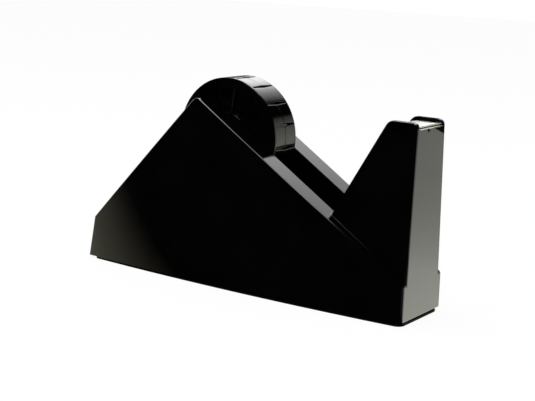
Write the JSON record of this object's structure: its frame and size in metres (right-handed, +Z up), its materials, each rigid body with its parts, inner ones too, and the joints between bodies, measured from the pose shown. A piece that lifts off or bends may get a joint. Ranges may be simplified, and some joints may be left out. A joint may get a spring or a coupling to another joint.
{
  "type": "desk tape dispenser",
  "caption": "Weighted wedge-shaped desk tape dispenser with a slotted lift-out wheel for large-core rolls and a serrated cutter between two cheeks on a front tower.",
  "frame": {"origin": "on the table under the middle of the body: bottom centre of the bounding box", "axes": "+X from the rear end to the cutter, +Y across, to the left of someone who looks from the rear end to the cutter, +Z up"},
  "size_m": [0.245, 0.0588, 0.1334],
  "materials": {
    "body_plastic": "high gloss black moulded polystyrene",
    "hub_plastic": "gloss black moulded polystyrene",
    "base_plastic": "fine matt black moulded plastic",
    "mat_rubber": "matt black foam rubber",
    "weight_iron": "raw sand-cast",
    "screw_steel": "zinc plated",
    "axle_steel": "drawn bright steel",
    "clip_steel": "blackened spring steel",
    "plate_steel": "bright nickel plated sheet",
    "blade_steel": "stamped stainless strip with ground teeth"
  },
  "bodies": {
    "dispenser": {"body_shell": "body_plastic", "base_plate": "base_plastic", "anti_slip_mat": "mat_rubber", "rear_weight": "weight_iron", "front_weight": "weight_iron", "weight_screws": "screw_steel", "base_screws": "screw_steel", "tape_rest_plate": "plate_steel", "cutter_blade": "blade_steel"},
    "axle": {"hub_axle": "axle_steel", "axle_clips": "clip_steel"},
    "wheel": {"hub_left": "hub_plastic", "hub_right": "hub_plastic"}
  },
  "joints": [
    {"name": "axle_lift", "type": "slide", "parent": "dispenser", "child": "axle", "axis": [0, 0, 1], "range_m": [0, 0.085]},
    {"name": "wheel_spin", "type": "hinge", "parent": "axle", "child": "wheel", "pos_m": [-0.0177, 0, 0.0959], "axis": [0, 1, 0], "continuous": true}
  ]
}
